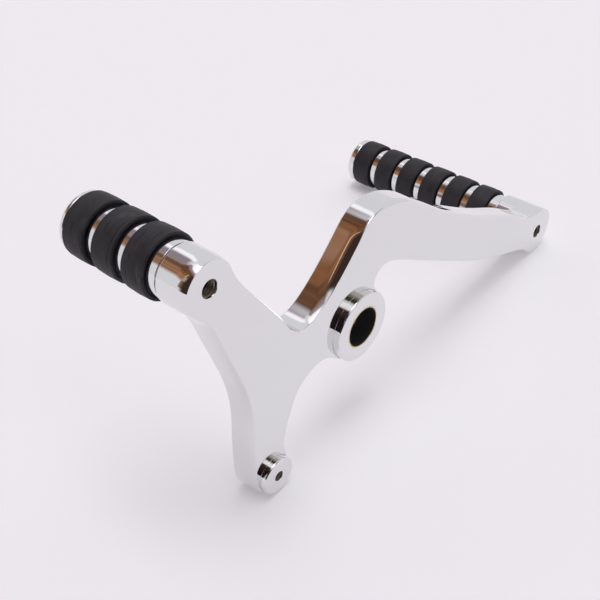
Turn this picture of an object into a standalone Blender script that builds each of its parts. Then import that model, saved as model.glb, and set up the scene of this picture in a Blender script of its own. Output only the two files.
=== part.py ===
"""Heel-and-toe gear shift lever with two rubber-ringed foot pegs.

One flat lever plate has a pivot boss in its middle, a leg for the gear linkage below it,
a short limb with the short peg on one side and a long cranked arm with the long peg on the
other. Both pegs point the same way, away from the plate's front face.

Frame: origin on the pivot axis in the plane of the plate's front face, +Z up as the lever
stands on a table, +Y along both pegs, +X towards the long peg. Lengths are in metres.
"""
import math

import bmesh
import bpy
from mathutils import Matrix

MM = 0.001

# Fit between neighbouring pieces: the bare gap that every press, thread or butt joint keeps.
GAP = 0.3 * MM

# Lever plate and its bosses. Depths run along +Y from the plate's front face.
PLATE_THICKNESS = 12.7 * MM
PIVOT_BOSS_RADIUS = 16.1 * MM
PIVOT_BOSS_FRONT = 3.4 * MM
PIVOT_BOSS_REAR = 3.2 * MM
SHORT_AXIS = (-80.1 * MM, 69.6 * MM)
SHORT_BOSS_RADIUS = 11.8 * MM
SHORT_SEAM = 14.4 * MM
LONG_AXIS = (159.7 * MM, -41.5 * MM)
LONG_BOSS_RADIUS = 13.05 * MM
LONG_SEAM = 22.4 * MM
LINKAGE_AXIS = (-56.3 * MM, -44.8 * MM)
LINKAGE_BOSS_RADIUS = 8.65 * MM
LINKAGE_BOSS_FRONT = 3.1 * MM

# Pivot bore and its two thin-walled bushes.
BUSH_RADIUS = 9.55 * MM
BUSH_WALL = 0.85 * MM
BUSH_LENGTH = 9.0 * MM

# Threads: stud holes for the pegs and the hole for the linkage's ball stud.
STUD_RADIUS = 3.9 * MM
STUD_HALF_LENGTH = 9.5 * MM
LINKAGE_HOLE_RADIUS = 2.4 * MM

# Peg bodies, rubber rings and end caps.
PEG_RADIUS = 11.2 * MM
PEG_CHAMFER = 0.6 * MM
GROOVE_RADIUS = 8.6 * MM
RING_RADIUS = 13.25 * MM
RING_WIDTH = 10.8 * MM
RING_PITCH = 15.6 * MM
RING_SHOULDER = 2.2 * MM
CAP_RADIUS = 12.6 * MM
CAP_ROUND = 1.6 * MM
CAP_SPIGOT_RADIUS = 4.0 * MM
CAP_SPIGOT_LENGTH = 7.0 * MM
SHORT_COLLAR = 5.2 * MM
SHORT_LENGTH = 50.5 * MM
SHORT_RINGS = 3
LONG_COLLAR = 6.2 * MM
LONG_LENGTH = 99.9 * MM
LONG_RINGS = 6

# Facets round a turned piece, and round the lever's bosses and bores.
TURNED_SEGMENTS = 28
BOSS_SEGMENTS = 40
CUTTER_REACH = 5.0 * MM
WELD_DISTANCE = 0.04 * MM

# Plate outline, in millimetres (x, z), walked clockwise from the short peg's boss.
# The ends that lie inside a boss only close the outline.
TOP_EDGE = [
    (-73.0, 78.4), (-67.6, 69.1), (-58.1, 53.0), (-44.4, 31.3), (-39.6, 23.4),
    (-36.4, 20.9), (-32.5, 20.4), (-24.4, 22.9), (-12.5, 30.9), (0.6, 42.6),
    (8.2, 48.5), (16.5, 50.3), (27.2, 48.3), (42.5, 40.0), (64.9, 23.0),
    (81.0, 12.4), (105.3, -2.1), (137.1, -19.5), (152.6, -27.4), (164.6, -30.1),
]
LONG_BOSS_CORE = [(167.2, -42.0), (159.9, -51.8)]
ARM_UNDERSIDE = [
    (150.2, -50.5), (146.9, -47.6), (143.4, -45.5), (121.9, -36.4), (97.1, -24.8),
    (69.3, -8.8), (44.3, 6.6), (26.4, 17.4), (22.1, 19.2), (17.7, 19.3),
    (13.8, 17.2), (12.0, 13.5),
]
PIVOT_ROUND_RADIUS = 16.7
PIVOT_ROUND_START = 30.0
PIVOT_ROUND_END = -138.0
PIVOT_ROUND_POINTS = 6
LEG_INNER_EDGE = [
    (-19.4, -6.4), (-24.5, -5.2), (-30.2, -6.0), (-35.5, -8.4), (-40.9, -14.4),
    (-45.7, -24.6), (-48.2, -33.0),
]
LEG_END_CENTRE = (-57.0, -45.0)
LEG_END_RADIUS = 9.8
LEG_END_START = 10.0
LEG_END_POINTS = 8
LEG_OUTER_EDGE = [
    (-67.1, -33.0), (-66.7, -23.3), (-65.8, -10.0), (-67.1, 6.2), (-70.9, 20.3),
    (-76.9, 38.6), (-80.6, 49.6), (-83.7, 55.7), (-88.9, 63.4),
]
SHORT_BOSS_CORE = [(-84.6, 73.3)]
OUTLINE_RESOLUTION = 4


def clear_scene():
    """Remove every object that is already in the file."""
    for item in list(bpy.data.objects):
        bpy.data.objects.remove(item, do_unlink=True)


def new_collection(name):
    """Return a collection of this name, linked to the scene."""
    collection = bpy.data.collections.new(name)
    bpy.context.scene.collection.children.link(collection)
    return collection


def make_material(name, colour, roughness, metallic):
    """Return a Principled material."""
    material = bpy.data.materials.new(name)
    material.use_nodes = True
    shader = material.node_tree.nodes["Principled BSDF"]
    shader.inputs["Base Color"].default_value = (*colour, 1.0)
    shader.inputs["Roughness"].default_value = roughness
    shader.inputs["Metallic"].default_value = metallic
    return material


def add_mesh(name, mesh, collection):
    """Put a mesh in the scene as an object and return it."""
    item = bpy.data.objects.new(name, mesh)
    collection.objects.link(item)
    return item


def arc(centre, radius, start, end, count):
    """Return points on a circular arc, in degrees from +X towards +Z."""
    points = []
    for step in range(count):
        angle = math.radians(start + (end - start) * step / (count - 1))
        x = centre[0] + radius * math.cos(angle)
        z = centre[1] + radius * math.sin(angle)
        points.append((x, z))
    return points


def plate_outline():
    """Return the plate's outline points in millimetres, as one closed walk."""
    pivot_round = arc(
        (0.0, 0.0), PIVOT_ROUND_RADIUS, PIVOT_ROUND_START, PIVOT_ROUND_END, PIVOT_ROUND_POINTS
    )
    leg_end = arc(LEG_END_CENTRE, LEG_END_RADIUS, LEG_END_START, -180.0, LEG_END_POINTS)
    arm = TOP_EDGE + LONG_BOSS_CORE + ARM_UNDERSIDE
    leg = LEG_INNER_EDGE + leg_end + LEG_OUTER_EDGE
    return arm + pivot_round + leg + SHORT_BOSS_CORE


def make_plate(name, collection):
    """Return the lever plate as a mesh object: the outline extruded from y = 0 backwards."""
    outline = plate_outline()
    curve = bpy.data.curves.new(name + "_outline", "CURVE")
    curve.dimensions = "2D"
    curve.fill_mode = "BOTH"
    curve.extrude = PLATE_THICKNESS / 2
    curve.resolution_u = OUTLINE_RESOLUTION
    spline = curve.splines.new("BEZIER")
    spline.bezier_points.add(len(outline) - 1)
    for point, (x, z) in zip(spline.bezier_points, outline):
        point.co = (x * MM, z * MM, 0.0)
        point.handle_left_type = "AUTO"
        point.handle_right_type = "AUTO"
    spline.use_cyclic_u = True
    drawn = bpy.data.objects.new(name + "_curve", curve)
    collection.objects.link(drawn)
    bpy.context.view_layer.update()
    depsgraph = bpy.context.evaluated_depsgraph_get()
    mesh = bpy.data.meshes.new_from_object(drawn.evaluated_get(depsgraph))
    bpy.data.objects.remove(drawn)
    shape = bmesh.new()
    shape.from_mesh(mesh)
    bmesh.ops.remove_doubles(shape, verts=shape.verts, dist=0.01 * MM)
    stand_up = Matrix.Rotation(math.radians(90), 4, "X")
    set_back = Matrix.Translation((0.0, PLATE_THICKNESS / 2, 0.0))
    bmesh.ops.transform(shape, matrix=set_back @ stand_up, verts=shape.verts)
    bmesh.ops.recalc_face_normals(shape, faces=shape.faces)
    shape.to_mesh(mesh)
    shape.free()
    mesh.name = name
    return add_mesh(name, mesh, collection)


def make_bar(name, axis, radius, front, back, segments, collection):
    """Return a round bar along Y between two depths, centred on axis (x, z)."""
    mesh = bpy.data.meshes.new(name)
    shape = bmesh.new()
    place = Matrix.Translation((axis[0], (front + back) / 2, axis[1]))
    lay_down = Matrix.Rotation(math.radians(-90), 4, "X")
    bmesh.ops.create_cone(
        shape,
        cap_ends=True,
        segments=segments,
        radius1=radius,
        radius2=radius,
        depth=back - front,
        matrix=place @ lay_down,
    )
    shape.to_mesh(mesh)
    shape.free()
    bar = add_mesh(name, mesh, collection)
    bar.hide_render = True
    bar.display_type = "WIRE"
    return bar


def combine(target, tool, operation):
    """Join a tool to the target, or cut it out, with a Boolean modifier."""
    boolean = target.modifiers.new(tool.name, "BOOLEAN")
    boolean.operation = operation
    boolean.solver = "EXACT"
    boolean.object = tool


def finish_piece(item, material, smooth_angle=30.0):
    """Give a piece its material and smooth shading with sharp creases."""
    item.data.materials.clear()
    item.data.materials.append(material)
    item.data.shade_smooth()
    item.data.set_sharp_from_angle(angle=math.radians(smooth_angle))


def turned(name, profile, closed, axis, depth, material, collection):
    """Return a turned piece.

    profile holds (radius, height) points from the top down its outer side, height along the
    piece's own axis; closed joins the last point to the first, for a piece with a bore. The
    piece's axis lies along +Y through axis (x, z) and its height 0 is at depth.
    """
    mesh = bpy.data.meshes.new(name)
    edges = [(index, index + 1) for index in range(len(profile) - 1)]
    if closed:
        edges.append((len(profile) - 1, 0))
    mesh.from_pydata([(radius, 0.0, height) for radius, height in profile], edges, [])
    item = add_mesh(name, mesh, collection)
    screw = item.modifiers.new("Turn", "SCREW")
    screw.axis = "Z"
    screw.angle = math.radians(360)
    screw.steps = TURNED_SEGMENTS
    screw.render_steps = TURNED_SEGMENTS
    screw.use_merge_vertices = True
    screw.merge_threshold = 0.00001
    screw.use_smooth_shade = True
    item.location = (axis[0], depth, axis[1])
    item.rotation_euler = (math.radians(-90), 0.0, 0.0)
    item.data.materials.append(material)
    return item


def bored_profile(outer, inner, low, high, chamfer):
    """Return a closed profile for a plain ring with small chamfers on its outer edges."""
    return [
        (inner, high),
        (outer - chamfer, high),
        (outer, high - chamfer),
        (outer, low + chamfer),
        (outer - chamfer, low),
        (inner, low),
    ]


def make_lever(material, parts, tools):
    """Build the lever: plate, four bosses, pivot bore, two stud holes and a linkage hole."""
    lever = make_plate("lever", parts)
    bosses = [
        ("short_boss", SHORT_AXIS, SHORT_BOSS_RADIUS, 0.0, SHORT_SEAM),
        ("long_boss", LONG_AXIS, LONG_BOSS_RADIUS, 0.0, LONG_SEAM),
        (
            "pivot_boss",
            (0.0, 0.0),
            PIVOT_BOSS_RADIUS,
            -PIVOT_BOSS_FRONT,
            PLATE_THICKNESS + PIVOT_BOSS_REAR,
        ),
        ("linkage_boss", LINKAGE_AXIS, LINKAGE_BOSS_RADIUS, -LINKAGE_BOSS_FRONT, PLATE_THICKNESS / 2),
    ]
    for name, axis, radius, front, back in bosses:
        boss = make_bar(name, axis, radius, front, back, BOSS_SEGMENTS, tools)
        combine(lever, boss, "UNION")
    holes = [
        ("pivot_bore", (0.0, 0.0), BUSH_RADIUS + GAP / 2, PLATE_THICKNESS + PIVOT_BOSS_REAR),
        ("short_stud_hole", SHORT_AXIS, STUD_RADIUS + GAP / 2, SHORT_SEAM),
        ("long_stud_hole", LONG_AXIS, STUD_RADIUS + GAP / 2, LONG_SEAM),
        ("linkage_hole", LINKAGE_AXIS, LINKAGE_HOLE_RADIUS, PLATE_THICKNESS),
    ]
    for name, axis, radius, back in holes:
        front = -PIVOT_BOSS_FRONT - CUTTER_REACH
        hole = make_bar(name, axis, radius, front, back + CUTTER_REACH, TURNED_SEGMENTS, tools)
        combine(lever, hole, "DIFFERENCE")
    weld = lever.modifiers.new("Weld", "WELD")
    weld.merge_threshold = WELD_DISTANCE
    finish_piece(lever, material)


def make_bushes(material, parts):
    """Build the two bushes in the pivot bore, one flush with each of its ends."""
    bush = bored_profile(BUSH_RADIUS - GAP / 2, BUSH_RADIUS - BUSH_WALL, 0.0, BUSH_LENGTH, 0.2 * MM)
    rear = PLATE_THICKNESS + PIVOT_BOSS_REAR - BUSH_LENGTH
    turned("pivot_bush_front", bush, True, (0.0, 0.0), -PIVOT_BOSS_FRONT, material, parts)
    turned("pivot_bush_rear", bush, True, (0.0, 0.0), rear, material, parts)


def ring_spans(collar, count):
    """Return each rubber ring's (near, far) heights above the peg's seam."""
    spans = []
    for index in range(count):
        near = collar + index * RING_PITCH
        spans.append((near, near + RING_WIDTH))
    return spans


def peg_body_profile(collar, count, length, cap_width):
    """Return the peg body's profile: end bores, and a groove for each rubber ring."""
    top = length - cap_width - GAP
    profile = [
        (0.0, top - CAP_SPIGOT_LENGTH - GAP),
        (CAP_SPIGOT_RADIUS + GAP, top - CAP_SPIGOT_LENGTH - GAP),
        (CAP_SPIGOT_RADIUS + GAP, top),
    ]
    spans = ring_spans(collar, count)
    for near, far in reversed(spans):
        if far < spans[-1][1]:
            profile.append((PEG_RADIUS, far + GAP))
        profile.append((GROOVE_RADIUS, min(far + GAP, top)))
        profile.append((GROOVE_RADIUS, near - GAP))
        profile.append((PEG_RADIUS, near - GAP))
    stud_depth = STUD_HALF_LENGTH + GAP
    profile += [
        (PEG_RADIUS, GAP / 2 + PEG_CHAMFER),
        (PEG_RADIUS - PEG_CHAMFER, GAP / 2),
        (STUD_RADIUS + GAP / 2, GAP / 2),
        (STUD_RADIUS + GAP / 2, stud_depth),
        (0.0, stud_depth),
    ]
    return profile


def rubber_ring_profile():
    """Return a rubber ring's closed profile, with rounded outer shoulders."""
    inner = GROOVE_RADIUS + GAP
    outer = RING_RADIUS
    bend = RING_SHOULDER
    middle = bend * (1 - math.cos(math.radians(45)))
    upper = [(inner, RING_WIDTH), (outer - bend, RING_WIDTH), (outer - middle, RING_WIDTH - middle)]
    upper.append((outer, RING_WIDTH - bend))
    lower = [(radius, RING_WIDTH - height) for radius, height in reversed(upper)]
    return upper + lower


def cap_profile(width):
    """Return the end cap's profile: a round-edged flange with a spigot on its inner face."""
    middle = CAP_ROUND * (1 - math.cos(math.radians(45)))
    return [
        (0.0, width),
        (CAP_RADIUS - CAP_ROUND, width),
        (CAP_RADIUS - middle, width - middle),
        (CAP_RADIUS, width - CAP_ROUND),
        (CAP_RADIUS, 0.3 * MM),
        (CAP_RADIUS - 0.3 * MM, 0.0),
        (CAP_SPIGOT_RADIUS, 0.0),
        (CAP_SPIGOT_RADIUS, -CAP_SPIGOT_LENGTH),
        (0.0, -CAP_SPIGOT_LENGTH),
    ]


def stud_profile():
    """Return a threaded stud's profile, chamfered at both ends."""
    chamfer = 0.8 * MM
    radius = STUD_RADIUS - GAP / 2
    return [
        (0.0, STUD_HALF_LENGTH),
        (radius - chamfer, STUD_HALF_LENGTH),
        (radius, STUD_HALF_LENGTH - chamfer),
        (radius, chamfer - STUD_HALF_LENGTH),
        (radius - chamfer, -STUD_HALF_LENGTH),
        (0.0, -STUD_HALF_LENGTH),
    ]


def make_peg(prefix, axis, seam, collar, count, length, materials, parts):
    """Build one peg: its body, rubber rings, end cap and the stud that holds it."""
    last_far = ring_spans(collar, count)[-1][1]
    cap_width = length - last_far - GAP
    body = peg_body_profile(collar, count, length, cap_width)
    turned(prefix + "_body", body, False, axis, seam, materials["chrome"], parts)
    ring = rubber_ring_profile()
    for index, (near, _) in enumerate(ring_spans(collar, count)):
        name = f"{prefix}_ring_{index + 1}"
        turned(name, ring, True, axis, seam + near, materials["rubber"], parts)
    cap_base = seam + length - cap_width
    turned(prefix + "_end_cap", cap_profile(cap_width), False, axis, cap_base, materials["cap"], parts)
    turned(prefix + "_stud", stud_profile(), False, axis, seam, materials["stud"], parts)


def main():
    """Build the whole lever assembly."""
    clear_scene()
    parts = new_collection("shift_lever_with_pegs")
    tools = new_collection("cutters")
    materials = {
        "chrome": make_material("peg_chrome", (0.80, 0.80, 0.82), 0.06, 1.0),
        "cap": make_material("cap_chrome", (0.82, 0.82, 0.84), 0.08, 1.0),
        "rubber": make_material("black_rubber", (0.035, 0.034, 0.036), 0.62, 0.0),
        "stud": make_material("stud_steel", (0.42, 0.41, 0.40), 0.35, 1.0),
    }
    lever_material = make_material("lever_chrome", (0.81, 0.81, 0.83), 0.05, 1.0)
    bush_material = make_material("bush_bronze", (0.62, 0.50, 0.22), 0.30, 1.0)
    make_lever(lever_material, parts, tools)
    make_bushes(bush_material, parts)
    make_peg(
        "short_peg", SHORT_AXIS, SHORT_SEAM, SHORT_COLLAR, SHORT_RINGS, SHORT_LENGTH, materials, parts
    )
    make_peg("long_peg", LONG_AXIS, LONG_SEAM, LONG_COLLAR, LONG_RINGS, LONG_LENGTH, materials, parts)
    bpy.context.view_layer.update()


main()
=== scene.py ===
"""Looks of the chromed heel-and-toe shift lever and its two rubber-ringed pegs."""

import math

import bpy
import numpy as np
from mathutils import Matrix, Vector
from mathutils.geometry import tessellate_polygon


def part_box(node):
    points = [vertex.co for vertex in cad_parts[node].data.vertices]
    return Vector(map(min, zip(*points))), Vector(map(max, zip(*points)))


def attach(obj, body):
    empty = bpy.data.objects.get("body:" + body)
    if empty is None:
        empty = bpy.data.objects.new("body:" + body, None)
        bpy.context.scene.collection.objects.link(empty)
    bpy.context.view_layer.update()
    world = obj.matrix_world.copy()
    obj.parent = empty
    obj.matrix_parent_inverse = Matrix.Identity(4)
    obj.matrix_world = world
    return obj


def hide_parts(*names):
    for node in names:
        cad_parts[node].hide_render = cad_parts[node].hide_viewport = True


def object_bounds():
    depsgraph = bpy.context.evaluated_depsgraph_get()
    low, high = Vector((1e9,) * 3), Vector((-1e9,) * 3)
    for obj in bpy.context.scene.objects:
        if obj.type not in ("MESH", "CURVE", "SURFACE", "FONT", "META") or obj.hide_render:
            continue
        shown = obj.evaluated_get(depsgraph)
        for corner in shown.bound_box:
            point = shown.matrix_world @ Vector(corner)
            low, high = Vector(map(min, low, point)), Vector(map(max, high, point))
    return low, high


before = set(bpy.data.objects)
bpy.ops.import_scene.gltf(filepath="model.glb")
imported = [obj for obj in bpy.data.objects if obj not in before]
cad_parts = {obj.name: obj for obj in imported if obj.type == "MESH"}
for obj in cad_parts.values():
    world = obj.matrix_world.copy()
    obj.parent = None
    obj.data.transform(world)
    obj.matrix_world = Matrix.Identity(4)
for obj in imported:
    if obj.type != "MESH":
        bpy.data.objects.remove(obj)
cad_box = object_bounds()

MM = 0.001
ROOT = "root"


# ---------------------------------------------------------------- places taken from the frame

def axis_of(node):
    """Return a node's centre (x, z), in metres."""
    low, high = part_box(node)
    return ((low[0] + high[0]) / 2, (low[2] + high[2]) / 2)


def depths_of(node):
    """Return a node's nearest and farthest y, in metres."""
    low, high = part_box(node)
    return low[1], high[1]


def radius_of(node):
    """Return a turned node's outer radius, in metres."""
    low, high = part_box(node)
    return (high[0] - low[0]) / 2


# The gap between neighbouring pieces, and the groove where a peg meets its boss.
FIT_GAP = 0.3 * MM
SEAM_RELIEF = 0.8 * MM
PIVOT = (0.0, 0.0)
SHORT = axis_of("short_peg_body")
LONG = axis_of("long_peg_body")
LINKAGE = (-56.3 * MM, -44.8 * MM)
SHORT_SEAM = depths_of("short_peg_body")[0] - FIT_GAP / 2
LONG_SEAM = depths_of("long_peg_body")[0] - FIT_GAP / 2
FLOOR_Z = cad_box[0][2]

PLATE_THICKNESS = 12.7 * MM
SHORT_BOSS_RADIUS = 11.8 * MM
LONG_BOSS_RADIUS = 13.05 * MM
LINKAGE_BOSS_RADIUS = 8.65 * MM
LINKAGE_FACE = -3.1 * MM
LINKAGE_HOLE_RADIUS = 2.35 * MM
PIVOT_BOSS_RADIUS = 16.1 * MM
PIVOT_FACE = depths_of("pivot_bush_front")[0]
PIVOT_REAR = depths_of("pivot_bush_rear")[1]
BOSS_FILLET = 0.2 * MM
BUSH_RADIUS = 9.55 * MM
BUSH_WALL = 0.85 * MM
LINER_WALL = 0.45 * MM
STUD_HOLE_RADIUS = 3.6 * MM
PEG_RADIUS = radius_of("short_peg_body")
GROOVE_RADIUS = 8.6 * MM
RING_RADIUS = radius_of("short_peg_ring_1")
CAP_RADIUS = radius_of("short_peg_end_cap")
SPIGOT_RADIUS = 4.0 * MM
SPIGOT_LENGTH = 7.0 * MM
STUD_PITCH = 1.06 * MM
LINKAGE_PITCH = 0.8 * MM


# ---------------------------------------------------------------- meshes with exact normals

AXIS_RADIUS = 1e-7
ARC_STEP = math.radians(12)
# A rounding takes at most this share of the sides that it joins.
ARC_SHARE = 0.49


class Shell:
    """Collects vertices, one exact normal for each, and faces, for a mirror-smooth mesh."""

    def __init__(self):
        self.points = []
        self.normals = []
        self.faces = []

    def row(self, points, normals):
        """Add a row of vertices and return their numbers."""
        start = len(self.points)
        self.points += [tuple(point) for point in points]
        self.normals += [tuple(normal) for normal in normals]
        return list(range(start, len(self.points)))

    def strip(self, first, second):
        """Join two equal closed rows of vertices with quads."""
        count = len(first)
        for index in range(count):
            following = (index + 1) % count
            self.faces.append((first[index], first[following], second[following], second[index]))

    def fan(self, tip, row, outward_first):
        """Close a row onto one vertex."""
        count = len(row)
        for index in range(count):
            following = (index + 1) % count
            face = (tip, row[following], row[index])
            self.faces.append(face if outward_first else face[::-1])

    def fill(self, loops, facing_front):
        """Fill the flat region inside the first loop and outside the others."""
        numbers = [number for loop in loops for number in loop]
        flat = []
        for loop in loops:
            places = [self.points[number] for number in loop]
            flat.append([Vector((x, z, 0.0)) for x, _, z in places])
        for triangle in tessellate_polygon(flat):
            corners = [numbers[corner] for corner in triangle]
            (x0, _, z0), (x1, _, z1), (x2, _, z2) = (self.points[number] for number in corners)
            turn = (x1 - x0) * (z2 - z0) - (z1 - z0) * (x2 - x0)
            if turn == 0.0:
                continue
            if (turn > 0) != facing_front:
                corners[1], corners[2] = corners[2], corners[1]
            self.faces.append(tuple(corners))

    def turned(self, axis, corners, segments, closed):
        """Add a turned body about an axis along Y through (x, z)."""
        rows = []
        profile = rounded_profile(corners, closed)
        angles = [2 * math.pi * step / segments for step in range(segments)]
        for (radius, depth), (out, along) in profile:
            if radius < AXIS_RADIUS:
                rows.append(self.row([(axis[0], depth, axis[1])], [(0.0, along, 0.0)]))
                continue
            points = []
            normals = []
            for angle in angles:
                cosine, sine = math.cos(angle), math.sin(angle)
                points.append((axis[0] + radius * cosine, depth, axis[1] + radius * sine))
                normals.append((out * cosine, along, out * sine))
            rows.append(self.row(points, normals))
        pairs = list(zip(rows, rows[1:]))
        if closed:
            pairs.append((rows[-1], rows[0]))
        for first, second in pairs:
            if len(first) == 1:
                self.fan(first[0], second, True)
            elif len(second) == 1:
                self.fan(second[0], first, False)
            else:
                self.strip(first, second)

    def build(self, name, material):
        """Return the finished object."""
        mesh = bpy.data.meshes.new(name)
        mesh.from_pydata(self.points, [], self.faces)
        mesh.update()
        mesh.shade_smooth()
        mesh.normals_split_custom_set_from_vertices(self.normals)
        mesh.materials.append(material)
        item = bpy.data.objects.new(name, mesh)
        bpy.context.scene.collection.objects.link(item)
        return item


def rounded_profile(corners, closed):
    """Turn (radius, depth, rounding) corners into ((radius, depth), normal) profile points.

    The corners run down the outer side from the far end, and every rounding is a true arc.
    """
    count = len(corners)
    profile = []
    for index, (radius, depth, rounding) in enumerate(corners):
        here = Vector((radius, depth))
        if not closed and index in (0, count - 1):
            other = corners[1] if index == 0 else corners[-2]
            way = (Vector(other[:2]) - here).normalized()
            if index:
                way = -way
            profile.append(((radius, depth), (-way.y, way.x)))
            continue
        before = Vector(corners[index - 1][:2])
        after = Vector(corners[(index + 1) % count][:2])
        coming = (here - before).normalized()
        going = (after - here).normalized()
        turn = math.atan2(coming.cross(going), coming.dot(going))
        half = math.tan(abs(turn) / 2)
        room = ARC_SHARE * min((here - before).length, (after - here).length)
        bend = min(rounding, room / half)
        start = here - coming * bend * half
        left = Vector((-coming.y, coming.x))
        side = 1.0 if turn < 0 else -1.0
        centre = start - left * bend * side
        steps = max(2, math.ceil(abs(turn) / ARC_STEP))
        for step in range(steps + 1):
            angle = turn * step / steps
            cosine, sine = math.cos(angle), math.sin(angle)
            normal = Vector((left.x * cosine - left.y * sine, left.x * sine + left.y * cosine))
            point = centre + normal * bend * side
            profile.append(((point.x, point.y), (normal.x, normal.y)))
    return profile


# ---------------------------------------------------------------- the lever's outline

# Plate outline in millimetres (x, z), walked clockwise from the short peg's boss.
TOP_EDGE = [
    (-73.0, 78.4), (-67.6, 69.1), (-58.1, 53.0), (-44.4, 31.3), (-39.6, 23.4),
    (-36.4, 20.9), (-32.5, 20.4), (-24.4, 22.9), (-12.5, 30.9), (0.6, 42.6),
    (8.2, 48.5), (16.5, 50.3), (27.2, 48.3), (42.5, 40.0), (64.9, 23.0),
    (81.0, 12.4), (105.3, -2.1), (137.1, -19.5), (152.6, -27.4), (164.6, -30.1),
]
LONG_BOSS_CORE = [(167.2, -42.0), (159.9, -51.8)]
ARM_UNDERSIDE = [
    (150.2, -50.5), (146.9, -47.6), (143.4, -45.5), (121.9, -36.4), (97.1, -24.8),
    (69.3, -8.8), (44.3, 6.6), (26.4, 17.4), (22.1, 19.2), (17.7, 19.3),
    (13.8, 17.2), (12.0, 13.5),
]
# Rounds in the outline: centre x and z, radius, first and last angle in degrees, knots.
PIVOT_ROUND = (0.0, 0.0, 16.7, 30.0, -138.0, 6)
LEG_END = (-57.0, -45.0, 9.8, 10.0, -180.0, 8)
LEG_INNER_EDGE = [
    (-19.4, -6.4), (-24.5, -5.2), (-30.2, -6.0), (-35.5, -8.4), (-40.9, -14.4),
    (-45.7, -24.6), (-48.2, -33.0),
]
LEG_OUTER_EDGE = [
    (-67.1, -33.0), (-66.7, -23.3), (-65.8, -10.0), (-67.1, 6.2), (-70.9, 20.3),
    (-76.9, 38.6), (-80.6, 49.6), (-83.7, 55.7), (-88.9, 63.4),
]
SHORT_BOSS_CORE = [(-84.6, 73.3)]
SHORT_BOSS = np.array(SHORT) / MM
LONG_BOSS = np.array(LONG) / MM
KNOT_SAMPLES = 14
BOSS_ARC_POINTS = 60
OUTLINE_STEP = 0.6
OUTLINE_SMOOTHING = 1.1
# Where the arm's top meets the long boss: centre, reach and width of the extra smoothing.
LONG_BOSS_NECK = ((155.5, -29.1), 7.0, 3.5)

# Roundings of the plate's edges, in millimetres. They blend into each other along the outline.
FRONT_ROUNDING = 0.5
REAR_ROUNDING = 0.8
FRONT_BLEND = 2.5
REAR_BLEND = 1.2
# Rounding of the arm's top edge: x, rounding.
ARM_TOP_FROM = 8.5
ARM_TOP_ROUNDING = [(8, 0.4), (15, 0.9), (24, 3.0), (95, 2.4), (139, 1.6), (154, 0.9)]
# Other roundings of the front edge: centre, reach, rounding.
FRONT_ROUNDINGS = [
    (PIVOT, PIVOT_ROUND[2] + 1.0, 0.25),
    (LEG_END[:2], LEG_END[2] + 3.0, 0.25),
    (SHORT_BOSS, SHORT_BOSS_RADIUS / MM + 1.0, 0.35),
    (LONG_BOSS, LONG_BOSS_RADIUS / MM + 1.0, 0.5),
]
# The rear edge is sharp this far round a boss, because the boss carries on behind it.
FLUSH_ROUNDING = 0.02
FLUSH_REACH = 4.0

# The polishing wheel rolled the wall slightly over towards the front face: less in the vee and
# along the arm's top, and not at all round the pivot and on the inner side of the leg's end.
CROWN_RADIUS = 25.0
CROWN_TILT = math.radians(14.0)
VEE_X = -34.0
VEE_REACH = 13.0
VEE_TILT = math.radians(8.0)
ARM_TOP_TILT_FROM = 4.0
ARM_TOP_TILT = math.radians(3.0)
UPRIGHT_PIVOT_REACH = PIVOT_ROUND[2] + 2.0
UPRIGHT_LEG_REACH = LEG_END[2] + 1.0
CROWN_STEPS = 8
EDGE_STEPS = 7
LIP_STEPS = 4


def arc(centre_x, centre_z, radius, start, end, count):
    """Return points on a circular arc, in degrees from +X towards +Z."""
    points = []
    for angle in np.radians(np.linspace(start, end, count)):
        points.append((centre_x + radius * math.cos(angle), centre_z + radius * math.sin(angle)))
    return points


def closed_spline(knots, samples):
    """Return a smooth closed curve through the knots, with continuous curvature."""
    knots = np.array(knots)
    count = len(knots)
    ahead = np.roll(knots, -1, axis=0)
    spans = np.linalg.norm(ahead - knots, axis=1)
    behind = np.roll(spans, 1)
    system = np.zeros((count, count))
    rows = np.arange(count)
    system[rows, rows] = 2 * (behind + spans)
    system[rows, (rows - 1) % count] = spans
    system[rows, (rows + 1) % count] = behind
    slope_ahead = (ahead - knots) / spans[:, None]
    slope_behind = np.roll(slope_ahead, 1, axis=0)
    right = 3 * (behind[:, None] * slope_ahead + spans[:, None] * slope_behind)
    slopes = np.linalg.solve(system, right)
    t = np.linspace(0, 1, samples, endpoint=False)[None, :, None]
    start, end = knots[:, None, :], ahead[:, None, :]
    leaving = (slopes * spans[:, None])[:, None, :]
    arriving = (np.roll(slopes, -1, axis=0) * spans[:, None])[:, None, :]
    curve = (2 * t**3 - 3 * t**2 + 1) * start + (t**3 - 2 * t**2 + t) * leaving
    curve = curve + (3 * t**2 - 2 * t**3) * end + (t**3 - t**2) * arriving
    return curve.reshape(-1, 2)


def near(outline, centre, reach):
    """Return which outline points lie within reach of a centre, in millimetres."""
    offset = outline - np.array(centre)
    return np.hypot(offset[:, 0], offset[:, 1]) < reach


def around_boss(outline, centre, radius):
    """Replace the stretch of outline that lies inside a boss by the boss's own arc."""
    inside = near(outline, centre, radius)
    shift = int(np.flatnonzero(inside & ~np.roll(inside, 1))[0])
    outline = np.roll(outline, -shift, axis=0)
    inside = np.roll(inside, -shift)
    kept = outline[np.flatnonzero(~inside)[0]:]
    entry, leave = kept[-1] - centre, kept[0] - centre
    start = math.degrees(math.atan2(entry[1], entry[0]))
    end = math.degrees(math.atan2(leave[1], leave[0]))
    while end > start:
        end -= 360.0
    return np.vstack([kept, arc(centre[0], centre[1], radius, start, end, BOSS_ARC_POINTS)[1:-1]])


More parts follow.
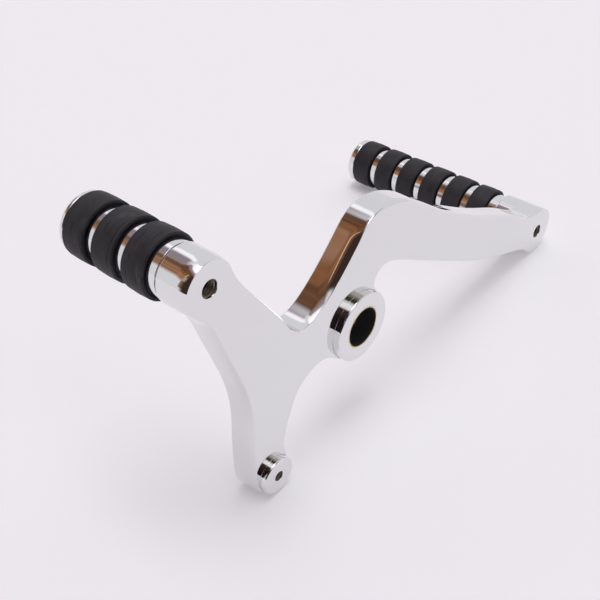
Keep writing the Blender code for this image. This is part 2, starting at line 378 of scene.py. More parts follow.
def resampled(outline, step):
    """Return the closed outline with even steps along it."""
    loop = np.vstack([outline, outline[:1]])
    walked = np.concatenate([[0], np.cumsum(np.linalg.norm(np.diff(loop, axis=0), axis=1))])
    places = np.linspace(0, walked[-1], int(walked[-1] / step), endpoint=False)
    return np.stack([np.interp(places, walked, loop[:, axis]) for axis in (0, 1)], axis=1)


def blurred(values, width):
    """Smooth values along the closed outline; width is in millimetres."""
    width = width / OUTLINE_STEP
    reach = int(width * 4)
    kernel = np.exp(-0.5 * (np.arange(-reach, reach + 1) / width) ** 2)
    kernel /= kernel.sum()
    padded = np.concatenate([values[-reach:], values, values[:reach]])
    if values.ndim == 1:
        return np.convolve(padded, kernel, "valid")
    columns = [np.convolve(padded[:, axis], kernel, "valid") for axis in range(values.shape[1])]
    return np.stack(columns, axis=1)


def eased_corner(outline, corner, reach, width):
    """Round the outline more generously near a corner; every length is in millimetres."""
    offset = outline - np.array(corner)
    share = np.exp(-np.sum(offset**2, axis=1) / reach**2)
    return outline + (blurred(outline, width) - outline) * share[:, None]


def lever_outline():
    """Return the lever's outline and its outward normals, in millimetres."""
    arm = TOP_EDGE + LONG_BOSS_CORE + ARM_UNDERSIDE
    leg = LEG_INNER_EDGE + arc(*LEG_END) + LEG_OUTER_EDGE
    knots = arm + arc(*PIVOT_ROUND) + leg + SHORT_BOSS_CORE
    outline = closed_spline(knots, KNOT_SAMPLES)
    outline = around_boss(outline, LONG_BOSS, LONG_BOSS_RADIUS / MM)
    outline = around_boss(outline, SHORT_BOSS, SHORT_BOSS_RADIUS / MM)
    outline = resampled(outline, OUTLINE_STEP)
    outline = blurred(outline, OUTLINE_SMOOTHING)
    outline = eased_corner(outline, *LONG_BOSS_NECK)
    along = np.roll(outline, -1, axis=0) - np.roll(outline, 1, axis=0)
    along /= np.linalg.norm(along, axis=1)[:, None]
    return outline, np.stack([-along[:, 1], along[:, 0]], axis=1)


def front_softness(outline, normals):
    """Return the front edge's rounding along the outline, in millimetres."""
    softness = np.full(len(outline), FRONT_ROUNDING)
    x = outline[:, 0]
    on_top = (normals[:, 1] > 0.3) & (x > ARM_TOP_FROM)
    places, roundings = zip(*ARM_TOP_ROUNDING)
    softness[on_top] = np.interp(x[on_top], places, roundings)
    for centre, reach, rounding in FRONT_ROUNDINGS:
        softness[near(outline, centre, reach)] = rounding
    return blurred(softness, FRONT_BLEND)


def crown_tilt(outline, normals):
    """Return how far the wall is rolled over at the front edge, in radians."""
    tilt = np.full(len(outline), CROWN_TILT)
    x = outline[:, 0]
    faces_up = normals[:, 1] > 0.2
    tilt[faces_up & (np.abs(x - VEE_X) < VEE_REACH)] = VEE_TILT
    tilt[faces_up & (x > ARM_TOP_TILT_FROM)] = ARM_TOP_TILT
    tilt[near(outline, PIVOT, UPRIGHT_PIVOT_REACH)] = 0.0
    tilt[near(outline, LEG_END[:2], UPRIGHT_LEG_REACH) & (normals[:, 0] > -0.2)] = 0.0
    return blurred(tilt, FRONT_BLEND)


def rear_softness(outline):
    """Return the rear edge's rounding along the outline, in millimetres."""
    softness = np.full(len(outline), REAR_ROUNDING)
    for centre, radius in ((SHORT_BOSS, SHORT_BOSS_RADIUS), (LONG_BOSS, LONG_BOSS_RADIUS)):
        softness[near(outline, centre, radius / MM + FLUSH_REACH)] = FLUSH_ROUNDING
    return np.maximum(blurred(softness, REAR_BLEND), FLUSH_ROUNDING)


# ---------------------------------------------------------------- the lever

# Holes in the plate: centre, radius, rounding of the lip. One inside a boss is wider, so that the
# boss's own bore shows instead.
PLATE_HOLES = [
    (PIVOT, BUSH_RADIUS + 2.5 * MM, 0.1 * MM),
    (SHORT, STUD_HOLE_RADIUS, 0.45 * MM),
    (LONG, STUD_HOLE_RADIUS, 0.45 * MM),
    (LINKAGE, LINKAGE_HOLE_RADIUS + 0.05 * MM, 0.3 * MM),
]
# Bosses behind the plate: axis, bore, radius, seam with the peg, rounding of the rim.
REAR_BOSSES = [
    (SHORT, STUD_HOLE_RADIUS + 0.05 * MM, SHORT_BOSS_RADIUS, SHORT_SEAM, 0.2 * MM),
    (LONG, STUD_HOLE_RADIUS + 0.05 * MM, LONG_BOSS_RADIUS, LONG_SEAM, 0.3 * MM),
]
# Bosses through the front face: axis, bore, radius, front, rear, rounding of the front rim.
LINKAGE_BOSS_DEPTH = PLATE_THICKNESS / 2
FRONT_BOSSES = [
    (PIVOT, BUSH_RADIUS, PIVOT_BOSS_RADIUS, PIVOT_FACE, PIVOT_REAR, 0.6 * MM),
    (LINKAGE, LINKAGE_HOLE_RADIUS, LINKAGE_BOSS_RADIUS, LINKAGE_FACE, LINKAGE_BOSS_DEPTH, 0.8 * MM),
]
# A rear boss starts this deep inside the plate, and its side lies this far inside the plate's own.
BOSS_SUNK = 0.5 * MM
BOSS_INSIDE = 0.1 * MM
BORE_ROUNDING = 0.25 * MM
REAR_RIM = 0.3 * MM
SHARP = 0.01 * MM


def ring_row(shell, axis, radius, depth, normal_out, normal_along, segments):
    """Add one circle of vertices."""
    points = []
    normals = []
    for step in range(segments):
        angle = 2 * math.pi * step / segments
        cosine, sine = math.cos(angle), math.sin(angle)
        points.append((axis[0] + radius * cosine, depth, axis[1] + radius * sine))
        normals.append((normal_out * cosine, normal_along, normal_out * sine))
    return shell.row(points, normals)


def bored_hole(shell, axis, radius, lip, segments=72):
    """Add the wall of a hole through the plate and return its front and rear rims."""
    rows = []
    turns = [math.pi / 2 * step / LIP_STEPS for step in range(LIP_STEPS + 1)]
    for sine, cosine in [(math.sin(turn), math.cos(turn)) for turn in turns]:
        out = radius + lip * (1 - sine)
        rows.append(ring_row(shell, axis, out, lip * (1 - cosine), -sine, -cosine, segments))
    for sine, cosine in [(math.sin(turn), math.cos(turn)) for turn in turns]:
        out = radius + lip * (1 - cosine)
        depth = PLATE_THICKNESS - lip * (1 - sine)
        rows.append(ring_row(shell, axis, out, depth, -cosine, sine, segments))
    for first, second in zip(rows, rows[1:]):
        shell.strip(first, second)
    return rows[0], rows[-1]


def plate_edge_row(shell, outline, normals, inset, depth, lean):
    """Add one closed row along the plate's edge. lean turns its normals to the front or rear."""
    points = outline - normals * inset[:, None]
    rows = np.stack([points[:, 0], depth, points[:, 1]], axis=1) * MM
    across = np.cos(lean)
    facing = np.stack([normals[:, 0] * across, np.sin(lean), normals[:, 1] * across], axis=1)
    return shell.row(rows.tolist(), facing.tolist())


def add_plate(shell):
    """Add the flat lever plate with its softened edges and its holes."""
    outline, normals = lever_outline()
    front = front_softness(outline, normals)
    rear = rear_softness(outline)
    tilt = crown_tilt(outline, normals)
    crown_drop = CROWN_RADIUS * (1 - np.cos(tilt))
    edge_depth = front * (1 - np.sin(tilt))
    thickness = PLATE_THICKNESS / MM
    rows = []
    for share in np.linspace(1, 0, EDGE_STEPS + 1):
        lean = tilt + (math.pi / 2 - tilt) * share
        inset = crown_drop + front * (np.cos(tilt) - np.cos(lean))
        rows.append(plate_edge_row(shell, outline, normals, inset, front * (1 - np.sin(lean)), -lean))
    for share in np.linspace(1, 0, CROWN_STEPS + 1)[1:]:
        lean = tilt * share
        inset = CROWN_RADIUS * (1 - np.cos(lean))
        depth = edge_depth + CROWN_RADIUS * (np.sin(tilt) - np.sin(lean))
        rows.append(plate_edge_row(shell, outline, normals, inset, depth, -lean))
    for share in np.linspace(0, 1, EDGE_STEPS + 1):
        lean = np.full(len(outline), math.pi / 2 * share)
        inset = rear * (1 - np.cos(lean))
        depth = thickness - rear * (1 - np.sin(lean))
        rows.append(plate_edge_row(shell, outline, normals, inset, depth, lean))
    for first, second in zip(rows, rows[1:]):
        shell.strip(first, second)
    holes = [bored_hole(shell, axis, radius, lip) for axis, radius, lip in PLATE_HOLES]
    shell.fill([rows[0]] + [rim[0] for rim in holes], True)
    shell.fill([rows[-1]] + [rim[1] for rim in holes], False)


def add_sleeve(shell, axis, inner, outer, near_end, far_end, rim, segments=128):
    """Add a bored sleeve between two depths; rim is the rounding of its outer edges."""
    corners = [
        (inner, far_end, BORE_ROUNDING),
        (outer, far_end, rim),
        (outer, near_end, rim),
        (inner, near_end, BORE_ROUNDING),
    ]
    shell.turned(axis, corners, segments, True)


def add_front_boss(shell, axis, inner, outer, front, rear, rim, segments=160):
    """Add a bored boss that stands proud of the front face, with a small fillet at its foot."""
    foot = outer + BOSS_FILLET
    # The side carries on inside the plate, and the fillet's edge dips just under the face.
    corners = [
        (inner, rear, BORE_ROUNDING),
        (outer, rear, REAR_RIM),
        (outer, 1.0 * MM, 0.05 * MM),
        (foot, 0.1 * MM, SHARP),
        (foot, 0.0, SHARP),
        (outer, 0.0, BOSS_FILLET * 0.95),
        (outer, front, rim),
        (inner, front, BORE_ROUNDING),
    ]
    shell.turned(axis, corners, segments, True)


def make_lever(material):
    """Build the lever: the plate and its bosses."""
    shell = Shell()
    add_plate(shell)
    for axis, bore, radius, seam, rim in REAR_BOSSES:
        near_end = PLATE_THICKNESS - BOSS_SUNK
        add_sleeve(shell, axis, bore, radius - BOSS_INSIDE, near_end, seam - FIT_GAP / 2, rim)
    for boss in FRONT_BOSSES:
        add_front_boss(shell, *boss)
    lever = shell.build("lever_shell", material)
    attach(lever, ROOT)
    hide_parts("lever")


# ---------------------------------------------------------------- pivot

# The slacks keep a bush, its liner and its hole from sharing a surface.
BUSH_SEGMENTS = 96
BUSH_RIM = 0.15 * MM
BUSH_SLACK = 0.02 * MM
LINER_RIM = 0.05 * MM
LINER_SLACK = 0.01 * MM
LINER_INSET = 0.08 * MM


def make_bushes(bronze, liner):
    """Build the two bushes, each with its liner."""
    middle = BUSH_RADIUS - BUSH_WALL + LINER_WALL
    for end in ("front", "rear"):
        near_end, far_end = depths_of("pivot_bush_" + end)
        shell = Shell()
        outer = BUSH_RADIUS - BUSH_SLACK
        add_sleeve(shell, PIVOT, middle, outer, near_end, far_end, BUSH_RIM, BUSH_SEGMENTS)
        bush = shell.build(f"bush_{end}_shell", bronze)
        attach(bush, ROOT)
        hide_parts("pivot_bush_" + end)
        shell = Shell()
        inner, outer = middle - LINER_WALL, middle - LINER_SLACK
        near_end, far_end = near_end + LINER_INSET, far_end - LINER_INSET
        add_sleeve(shell, PIVOT, inner, outer, near_end, far_end, LINER_RIM, BUSH_SEGMENTS)
        lining = shell.build(f"bush_{end}_liner", liner)
        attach(lining, ROOT)


# ---------------------------------------------------------------- pegs

# Every corner below is a radius, a depth and a rounding.
PEG_SEGMENTS = 144
RING_SEGMENTS = 160
STUD_SEGMENTS = 48
HOLE_SEGMENTS = 56
# Tapped holes: name, axis, radius, where the thread starts, its depth, its pitch.
TAPPED_HOLES = [
    ("short", SHORT, STUD_HOLE_RADIUS, 0.0, 4.2 * MM, STUD_PITCH),
    ("long", LONG, STUD_HOLE_RADIUS, 0.0, 12.0 * MM, STUD_PITCH),
    ("linkage", LINKAGE, LINKAGE_HOLE_RADIUS, LINKAGE_FACE, 14.0 * MM, LINKAGE_PITCH),
]


def ring_nodes(prefix):
    """Return the names of a peg's rubber rings, nearest the lever first."""
    names = [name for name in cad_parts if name.startswith(prefix + "_ring_")]
    return sorted(names)


def make_peg_body(prefix, axis, seam, chrome):
    """Build the turned chrome body: a collar, then a groove under each rubber ring."""
    spans = [depths_of(name) for name in ring_nodes(prefix)]
    cap_base = depths_of(prefix + "_end_cap")[0] + SPIGOT_LENGTH
    end = cap_base - FIT_GAP / 2
    edge = 0.35 * MM
    fine = 0.1 * MM
    collar = seam + SEAM_RELIEF
    corners = [
        (0.0, end - SPIGOT_LENGTH - FIT_GAP, 0.0),
        (SPIGOT_RADIUS + FIT_GAP, end - SPIGOT_LENGTH - FIT_GAP, fine),
        (SPIGOT_RADIUS + FIT_GAP, end, fine),
    ]
    for near_side, far_side in reversed(spans):
        if far_side < spans[-1][1]:
            corners.append((PEG_RADIUS, far_side + FIT_GAP / 2, edge))
            corners.append((GROOVE_RADIUS, far_side + FIT_GAP / 2, fine))
        else:
            corners.append((GROOVE_RADIUS, end, fine))
        corners.append((GROOVE_RADIUS, near_side - FIT_GAP / 2, fine))
        corners.append((PEG_RADIUS, near_side - FIT_GAP / 2, edge))
    stud_end = depths_of(prefix + "_stud")[1] + FIT_GAP
    corners += [
        (PEG_RADIUS, collar, 0.15 * MM),
        (PEG_RADIUS - SEAM_RELIEF, collar, fine),
        (PEG_RADIUS - SEAM_RELIEF, seam + FIT_GAP, fine),
        (STUD_HOLE_RADIUS, seam + FIT_GAP, fine),
        (STUD_HOLE_RADIUS, stud_end, fine),
        (0.0, stud_end, 0.0),
    ]
    shell = Shell()
    shell.turned(axis, corners, PEG_SEGMENTS, False)
    body = shell.build(prefix + "_core", chrome)
    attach(body, ROOT)
    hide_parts(prefix + "_body")


def make_end_cap(prefix, axis, chrome):
    """Build the round-edged end cap with its spigot."""
    near_end, far_end = depths_of(prefix + "_end_cap")
    base = near_end + SPIGOT_LENGTH
    crown = 0.35 * MM
    corners = [
        (0.0, far_end, 0.0),
        (CAP_RADIUS * 0.62, far_end - crown * 0.3, 12.0 * MM),
        (CAP_RADIUS - 0.9 * MM, far_end - crown, 1.1 * MM),
        (CAP_RADIUS, far_end - 1.5 * MM, 1.2 * MM),
        (CAP_RADIUS, base, 0.4 * MM),
        (SPIGOT_RADIUS, base, 0.1 * MM),
        (SPIGOT_RADIUS, near_end, 0.3 * MM),
        (0.0, near_end, 0.0),
    ]
    shell = Shell()
    shell.turned(axis, corners, PEG_SEGMENTS, False)
    cap = shell.build(prefix + "_cap", chrome)
    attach(cap, ROOT)
    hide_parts(prefix + "_end_cap")


def make_ring(name, axis, rubber):
    """Build one rubber ring: a slightly crowned tread between rounded shoulders."""
    near_side, far_side = depths_of(name)
    middle = (near_side + far_side) / 2
    half = (far_side - near_side) / 2
    dish = 0.55 * MM
    side = [
        (GROOVE_RADIUS + 0.1 * MM, half - dish, 0.1 * MM),
        (PEG_RADIUS + 0.1 * MM, half - dish, 0.2 * MM),
        (PEG_RADIUS + 0.9 * MM, half, 0.4 * MM),
        (RING_RADIUS - 0.2 * MM, half, 0.9 * MM),
    ]
    far_corners = [(radius, middle + offset, bend) for radius, offset, bend in side]
    near_corners = [(radius, middle - offset, bend) for radius, offset, bend in reversed(side)]
    corners = far_corners + [(RING_RADIUS, middle, 30.0 * MM)] + near_corners
    shell = Shell()
    shell.turned(axis, corners, RING_SEGMENTS, True)
    ring = shell.build(name + "_tread", rubber)
    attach(ring, ROOT)
    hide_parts(name)


def make_stud(prefix, axis, steel):
    """Build the stud with a real screw thread."""
    near_end, far_end = depths_of(prefix + "_stud")
    major = radius_of(prefix + "_stud")
    shell = Shell()
    core = major - 0.6 * MM
    plain_end = 0.8 * MM
    turns = int((far_end - near_end - 2 * plain_end) / STUD_PITCH)
    corners = [
        (0.0, far_end, 0.0),
        (core, far_end, 0.2 * MM),
        (core, near_end, 0.2 * MM),
        (0.0, near_end, 0.0),
    ]
    shell.turned(axis, corners, STUD_SEGMENTS, False)
    root = core - 0.05 * MM
    add_thread(shell, axis, root, major, STUD_PITCH, near_end + plain_end, turns, STUD_SEGMENTS)
    stud = shell.build(prefix + "_threaded_stud", steel)
    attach(stud, ROOT)
    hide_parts(prefix + "_stud")


def add_thread(shell, axis, root, crest, pitch, start, turns, segments):
    """Add a closed helical ridge from the root radius to the crest radius."""
    total = turns * segments
    run_out = segments * 0.4
    half = pitch * 0.46
    flat = half * 0.12
    outward = 1.0 if crest > root else -1.0
    slants = [(0.3, 0.95), (0.8, 0.6), (0.8, -0.6), (0.3, -0.95)]
    rows = []
    for step in range(total + 1):
        angle = 2 * math.pi * step / segments
        cosine, sine = math.cos(angle), math.sin(angle)
        depth = start + pitch * step / segments
        fade = min(1.0, step / run_out, (total - step) / run_out)
        tip = root + (crest - root) * max(fade, 0.02)
        section = [(root, depth + half), (tip, depth + flat), (tip, depth - flat), (root, depth - half)]
        points = [(axis[0] + radius * cosine, y, axis[1] + radius * sine) for radius, y in section]
        normals = [(outward * out * cosine, along, outward * out * sine) for out, along in slants]
        rows.append(shell.row(points, normals))
    faces = []
    for first, second in zip(rows, rows[1:]):
        for index in range(len(slants)):
            following = (index + 1) % len(slants)
            faces.append((first[index], second[index], second[following], first[following]))
    faces += [tuple(rows[0]), tuple(reversed(rows[-1]))]
    shell.faces += [face if outward > 0 else face[::-1] for face in faces]


def make_hole_thread(name, axis, radius, start, depth, pitch, steel):
    """Build the internal thread that shows in a tapped hole."""
    shell = Shell()
    turns = int(depth / pitch)
    root = radius + 0.1 * MM
    crest = radius - pitch * 0.42
    add_thread(shell, axis, root, crest, pitch, start + pitch * 0.7, turns, HOLE_SEGMENTS)
    thread = shell.build(name, steel)
    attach(thread, ROOT)


# ---------------------------------------------------------------- materials

def new_material(name, colour, roughness, metallic):
    """Return a material, its node tree and its Principled shader."""
    material = bpy.data.materials.new(name)
    material.use_nodes = True
    tree = material.node_tree
    shader = tree.nodes["Principled BSDF"]
    shader.inputs["Base Color"].default_value = (*colour, 1.0)
    shader.inputs["Roughness"].default_value = roughness
    shader.inputs["Metallic"].default_value = metallic
    return material, tree, shader


def noise(tree, scale, detail, stretch=(1.0, 1.0, 1.0)):
    """Return the value output of a noise texture in object space."""
    coordinates = tree.nodes.new("ShaderNodeTexCoord")
    mapping = tree.nodes.new("ShaderNodeMapping")
    mapping.inputs["Scale"].default_value = stretch
    tree.links.new(coordinates.outputs["Object"], mapping.inputs["Vector"])
    texture = tree.nodes.new("ShaderNodeTexNoise")
    texture.inputs["Scale"].default_value = scale
    texture.inputs["Detail"].default_value = detail
    tree.links.new(mapping.outputs["Vector"], texture.inputs["Vector"])
    return texture.outputs["Fac"]


def spread(tree, value, low, high):
    """Map a 0 to 1 value to a range."""
    remap = tree.nodes.new("ShaderNodeMapRange")
    remap.inputs["To Min"].default_value = low
    remap.inputs["To Max"].default_value = high
    tree.links.new(value, remap.inputs["Value"])
    return remap.outputs["Result"]


def threshold(tree, value, low, high):
    """Return 0 below low, 1 above high and a ramp between."""
    remap = tree.nodes.new("ShaderNodeMapRange")
    remap.inputs["From Min"].default_value = low
    remap.inputs["From Max"].default_value = high
    tree.links.new(value, remap.inputs["Value"])
    return remap.outputs["Result"]


def math_node(tree, operation, *values):
    """Return the output of a Math node fed with sockets or numbers."""
    node = tree.nodes.new("ShaderNodeMath")
    node.operation = operation
    for socket, value in zip(node.inputs, values):
        if isinstance(value, (int, float)):
            socket.default_value = value
        else:
            tree.links.new(value, socket)
    return node.outputs[0]


def mixed(tree, factor, first, second):
    """Return a colour mix; each colour is a socket or three numbers."""
    node = tree.nodes.new("ShaderNodeMix")
    node.data_type = "RGBA"
    tree.links.new(factor, node.inputs["Factor"])
    for socket, colour in zip((node.inputs[6], node.inputs[7]), (first, second)):
        if isinstance(colour, tuple):
            socket.default_value = (*colour, 1.0)
        else:
            tree.links.new(colour, socket)
    return node.outputs[2]


def colour_ramp(tree, value, *stops):
    """Return a colour that runs between two stops, each a value and its colour."""
    ramp = tree.nodes.new("ShaderNodeValToRGB")
    for element, (position, colour) in zip(ramp.color_ramp.elements, stops):
        element.position = position
        element.color = (*colour, 1.0)
    tree.links.new(value, ramp.inputs["Fac"])
    return ramp.outputs["Color"]


def bump(tree, shader, height, strength, distance):
    """Raise the surface by a height value."""
    node = tree.nodes.new("ShaderNodeBump")
    node.inputs["Strength"].default_value = strength
    node.inputs["Distance"].default_value = distance
    tree.links.new(height, node.inputs["Height"])
    tree.links.new(node.outputs["Normal"], shader.inputs["Normal"])


def chrome_material(name):
    """Mirror chrome with a faint hand-polished waviness and a breath of haze."""
    material, tree, shader = new_material(name, (0.80, 0.80, 0.81), roughness=0.05, metallic=1.0)
    haze = noise(tree, scale=60.0, detail=4.0)
    tree.links.new(spread(tree, haze, 0.02, 0.07), shader.inputs["Roughness"])
    wave = noise(tree, scale=55.0, detail=1.0)
    bump(tree, shader, wave, strength=0.12, distance=0.0004)
    return material


def broken_lines(tree):
    """Return 1 on thin broken lines that run round a peg, and 0 elsewhere."""
    coordinates = tree.nodes.new("ShaderNodeTexCoord")
    bands = tree.nodes.new("ShaderNodeTexWave")
    bands.bands_direction = "Y"
    settings = {"Scale": 64.0, "Distortion": 1.3, "Detail": 3.0, "Detail Scale": 3.0}
    for name, value in settings.items():
        bands.inputs[name].default_value = value
    tree.links.new(coordinates.outputs["Object"], bands.inputs["Vector"])
    line = threshold(tree, bands.outputs["Fac"], 0.955, 0.99)
    broken = threshold(tree, noise(tree, scale=130.0, detail=2.0), 0.47, 0.53)
    return math_node(tree, "MULTIPLY", line, broken)


RUBBER_DARK = (0.018, 0.016, 0.020)
RUBBER_LIGHT = (0.040, 0.037, 0.044)
SCUFF_GREY = (0.10, 0.095, 0.105)
CRACK_BLACK = (0.006, 0.005, 0.007)


def rubber_material(name, wear):
    """Moulded black rubber with fine grain; wear adds scuffs and broken cracks round the tread."""
    material, tree, shader = new_material(name, (0.05, 0.048, 0.052), roughness=0.6, metallic=0.0)
    shader.inputs["Specular IOR Level"].default_value = 0.3
    dust = noise(tree, scale=150.0, detail=6.0)
    scuff = threshold(tree, noise(tree, scale=95.0, detail=8.0, stretch=(1.0, 2.2, 1.0)), 0.56, 0.74)
    scuff = math_node(tree, "MULTIPLY", scuff, 0.15 + 0.4 * wear)
    crack = math_node(tree, "MULTIPLY", broken_lines(tree), wear)
    colour = colour_ramp(tree, dust, (0.3, RUBBER_DARK), (0.75, RUBBER_LIGHT))
    colour = mixed(tree, scuff, colour, SCUFF_GREY)
    colour = mixed(tree, crack, colour, CRACK_BLACK)
    tree.links.new(colour, shader.inputs["Base Color"])
    tree.links.new(spread(tree, dust, 0.5, 0.72), shader.inputs["Roughness"])
    grain = noise(tree, scale=1900.0, detail=4.0)
    height = math_node(tree, "SUBTRACT", math_node(tree, "MULTIPLY", grain, 0.35), crack)
    bump(tree, shader, height, strength=0.35, distance=0.0002)
    return material


def bronze_material():
    """Turned bronze edge of the bush."""
    colour = (0.80, 0.64, 0.26)
    material, tree, shader = new_material("bush_bronze", colour, roughness=0.28, metallic=1.0)
    marks = noise(tree, scale=700.0, detail=3.0)
    tree.links.new(spread(tree, marks, 0.2, 0.4), shader.inputs["Roughness"])
    return material


def liner_material_with_painted_shade():
    """Dark dry-lubricant liner inside the bush, its colour deepened to near black as painted shade of
    the bore.
    """
    # Near black: the liner's own dark colour, deepened further as painted shade for the inside of the
    # bore.
    colour = (0.006, 0.005, 0.006)
    material, tree, shader = new_material("bush_liner_painted_shade", colour, roughness=0.7, metallic=0.0)
    fleck = noise(tree, scale=900.0, detail=4.0)
    # The darker stop carries the painted shade of the bore; the brown flecks are the lining's own.
    colour = colour_ramp(tree, fleck, (0.6, (0.004, 0.0035, 0.004)), (0.85, (0.03, 0.026, 0.018)))
    tree.links.new(colour, shader.inputs["Base Color"])
    return material


def steel_material():
    """Plain threaded steel in the depth of the holes."""
    colour = (0.20, 0.165, 0.13)
    material, tree, shader = new_material("thread_steel", colour, roughness=0.3, metallic=1.0)
    marks = noise(tree, scale=500.0, detail=3.0)
    tree.links.new(spread(tree, marks, 0.25, 0.5), shader.inputs["Roughness"])
    return material


# ---------------------------------------------------------------- studio

CAMERA_PLACE = (-251.542 * MM, -194.464 * MM, 275.663 * MM)
CAMERA_HEADING = 48.014
CAMERA_DOWN = 39.49
CAMERA_ROLL = -2.247
CAMERA_LENS = 59.236
FLOOR_HALF_WIDTH = 3.0
FLOOR_COLOUR = (0.77, 0.76, 0.79)
FLOOR_GLOW = (0.97, 0.94, 1.0)
FLOOR_GLOW_STRENGTH = 0.235


def make_camera():
    """Place the camera at the object's viewing angle."""
    data = bpy.data.cameras.new("camera")
    data.lens = CAMERA_LENS
    data.sensor_width = 36.0
    data.clip_start = 0.01
    camera = bpy.data.objects.new("camera", data)
    bpy.context.scene.collection.objects.link(camera)
    heading = Matrix.Rotation(math.radians(-CAMERA_HEADING), 4, "Z")
    pitch = Matrix.Rotation(math.radians(90 - CAMERA_DOWN), 4, "X")
    roll = Matrix.Rotation(math.radians(CAMERA_ROLL), 4, "Z")
    camera.matrix_world = Matrix.Translation(CAMERA_PLACE) @ heading @ pitch @ roll
    bpy.context.scene.camera = camera


def make_floor():
    """Lay a wide pale floor under the object."""
    half = FLOOR_HALF_WIDTH
    mesh = bpy.data.meshes.new("floor")
    corners = [(-half, -half), (half, -half), (half, half), (-half, half)]
    mesh.from_pydata([(x, y, FLOOR_Z) for x, y in corners], [], [(0, 1, 2, 3)])
    floor = bpy.data.objects.new("floor", mesh)
    bpy.context.scene.collection.objects.link(floor)
    material, _, shader = new_material("pale_floor", FLOOR_COLOUR, roughness=0.9, metallic=0.0)
    shader.inputs["Emission Color"].default_value = (*FLOOR_GLOW, 1.0)
    shader.inputs["Emission Strength"].default_value = FLOOR_GLOW_STRENGTH
    mesh.materials.append(material)


# What the chrome reflects: name, azimuth, half width, side softness, elevation, half height, top
# softness, radiance. Angles are in degrees. Later ones lie over earlier ones, and wood is mottled.
SURROUNDINGS = [
    ("upper_glow", 145.0, 90.0, 8.0, 75.0, 8.0, 6.0, (1.15, 1.13, 1.17)),
    ("window", 256.0, 14.0, 6.0, 60.0, 5.0, 5.0, (1.12, 1.09, 1.06)),
    ("white_lamp", 60.0, 9.0, 8.0, 50.0, 11.0, 6.0, (1.12, 1.10, 1.16)),
    ("pale_shelf", 126.0, 35.0, 10.0, 65.0, 3.5, 4.0, (0.33, 0.25, 0.25)),
    ("grey_board", 84.0, 17.0, 14.0, 50.0, 9.0, 10.0, (0.30, 0.245, 0.265)),
    ("wood_top", 131.0, 31.0, 16.0, 53.0, 10.0, 5.0, (0.18, 0.083, 0.045)),
    ("wood_middle", 116.0, 13.0, 8.0, 40.0, 6.0, 8.0, (0.25, 0.15, 0.095)),
    ("wood_lower", 137.0, 17.0, 10.0, 37.0, 9.0, 10.0, (0.43, 0.21, 0.115)),
    ("wood_edge", 138.0, 11.0, 3.0, 46.5, 3.0, 3.0, (0.32, 0.14, 0.062)),
    ("side_panel", 155.5, 4.5, 3.0, 18.5, 11.5, 4.0, (0.24, 0.17, 0.13)),
    ("room_corner", 322.0, 9.0, 8.0, 41.0, 9.0, 8.0, (0.50, 0.43, 0.37)),
    ("dark_room", 197.0, 41.0, 9.0, 28.0, 31.0, 4.0, (0.045, 0.026, 0.020)),
    ("black_door", 210.0, 17.0, 10.0, 15.0, 25.0, 10.0, (0.015, 0.010, 0.010)),
    ("dark_corner", 245.0, 23.0, 5.0, 17.0, 20.0, 5.0, (0.065, 0.047, 0.042)),
    ("shelf", 299.0, 17.0, 8.0, 47.0, 15.0, 6.0, (0.17, 0.16, 0.125)),
    ("dark_shelf", 297.0, 9.0, 5.0, 57.5, 3.5, 3.0, (0.05, 0.04, 0.03)),
    ("bright_gap", 150.4, 0.9, 0.6, 48.0, 5.0, 3.0, (0.95, 0.60, 0.36)),
    ("ceiling_light", 0.0, 181.0, 6.0, 90.0, 14.0, 6.0, (5.0, 5.0, 5.05)),
]
REFLECTED_BASE = (0.765, 0.755, 0.775)
BACKDROP = (0.82, 0.81, 0.845)
WOOD_SHADE = 0.35


def edge_mask(tree, angle, centre, half_width, softness):
    """Return 1 where an angle is within half_width of the centre, in degrees, and 0 outside."""
    offset = math_node(tree, "SUBTRACT", angle, math.radians(centre))
    wrapped = math_node(tree, "WRAP", offset, math.pi, -math.pi)
    node = tree.nodes.new("ShaderNodeMapRange")
    node.interpolation_type = "SMOOTHSTEP"
    node.inputs["From Min"].default_value = math.radians(half_width + softness / 2)
    node.inputs["From Max"].default_value = math.radians(half_width - softness / 2)
    tree.links.new(math_node(tree, "ABSOLUTE", wrapped), node.inputs["Value"])
    return node.outputs["Result"]


def wood_mottle(tree, direction):
    """Return a factor from 0.45 to 1 that varies with direction."""
    grain = tree.nodes.new("ShaderNodeTexNoise")
    grain.inputs["Scale"].default_value = 9.0
    grain.inputs["Detail"].default_value = 5.0
    tree.links.new(direction, grain.inputs["Vector"])
    return spread(tree, threshold(tree, grain.outputs["Fac"], 0.36, 0.64), 0.45, 1.0)


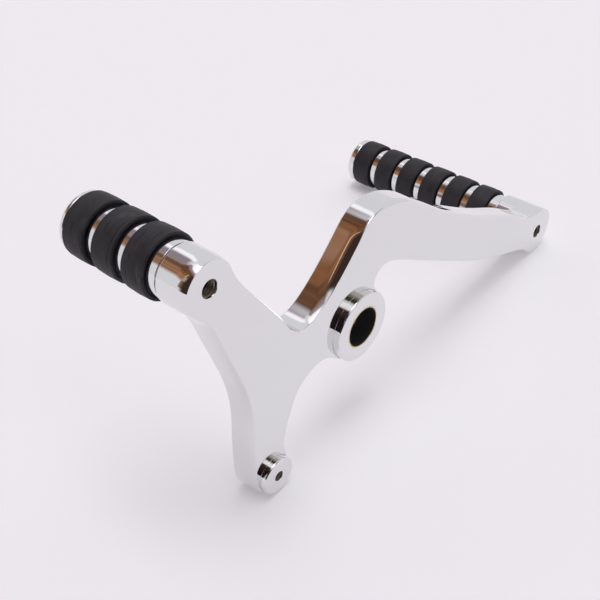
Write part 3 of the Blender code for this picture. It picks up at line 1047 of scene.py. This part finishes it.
def make_world():
    """Surround the object with a pale studio, and with the patches that its chrome reflects."""
    world = bpy.data.worlds.new("studio")
    world.use_nodes = True
    tree = world.node_tree
    background = tree.nodes["Background"]
    direction = tree.nodes.new("ShaderNodeTexCoord").outputs["Generated"]
    parts = tree.nodes.new("ShaderNodeSeparateXYZ")
    tree.links.new(direction, parts.inputs[0])
    azimuth = math_node(tree, "ARCTAN2", parts.outputs["Y"], parts.outputs["X"])
    elevation = math_node(tree, "ARCSINE", parts.outputs["Z"])
    mottle = wood_mottle(tree, direction)
    colour = REFLECTED_BASE
    for name, turn, half_width, side_soft, height, half_height, top_soft, radiance in SURROUNDINGS:
        across = edge_mask(tree, azimuth, turn, half_width, side_soft)
        up = edge_mask(tree, elevation, height, half_height, top_soft)
        strength = math_node(tree, "MULTIPLY", across, up)
        if name.startswith("wood"):
            shade = tuple(WOOD_SHADE * part for part in radiance)
            radiance = mixed(tree, mottle, shade, radiance)
        colour = mixed(tree, strength, colour, radiance)
    seen = tree.nodes.new("ShaderNodeLightPath").outputs["Is Camera Ray"]
    tree.links.new(mixed(tree, seen, colour, BACKDROP), background.inputs["Color"])
    bpy.context.scene.world = world


def main():
    """Build every piece, the studio and the camera."""
    bpy.context.scene.view_settings.view_transform = "Standard"
    make_camera()
    lever_chrome = chrome_material("lever_chrome")
    peg_chrome = chrome_material("peg_chrome")
    rubbers = {
        "short_peg": rubber_material("worn_ring_rubber", wear=1.0),
        "long_peg": rubber_material("ring_rubber", wear=0.0),
    }
    steel = steel_material()
    make_lever(lever_chrome)
    make_bushes(bronze_material(), liner_material_with_painted_shade())
    for name, axis, radius, start, depth, pitch in TAPPED_HOLES:
        make_hole_thread(name + "_hole_thread", axis, radius, start, depth, pitch, steel)
    for prefix, axis, seam in (("short_peg", SHORT, SHORT_SEAM), ("long_peg", LONG, LONG_SEAM)):
        make_peg_body(prefix, axis, seam, peg_chrome)
        make_end_cap(prefix, axis, peg_chrome)
        make_stud(prefix, axis, steel)
        for name in ring_nodes(prefix):
            make_ring(name, axis, rubbers[prefix])
    make_floor()
    make_world()


main()
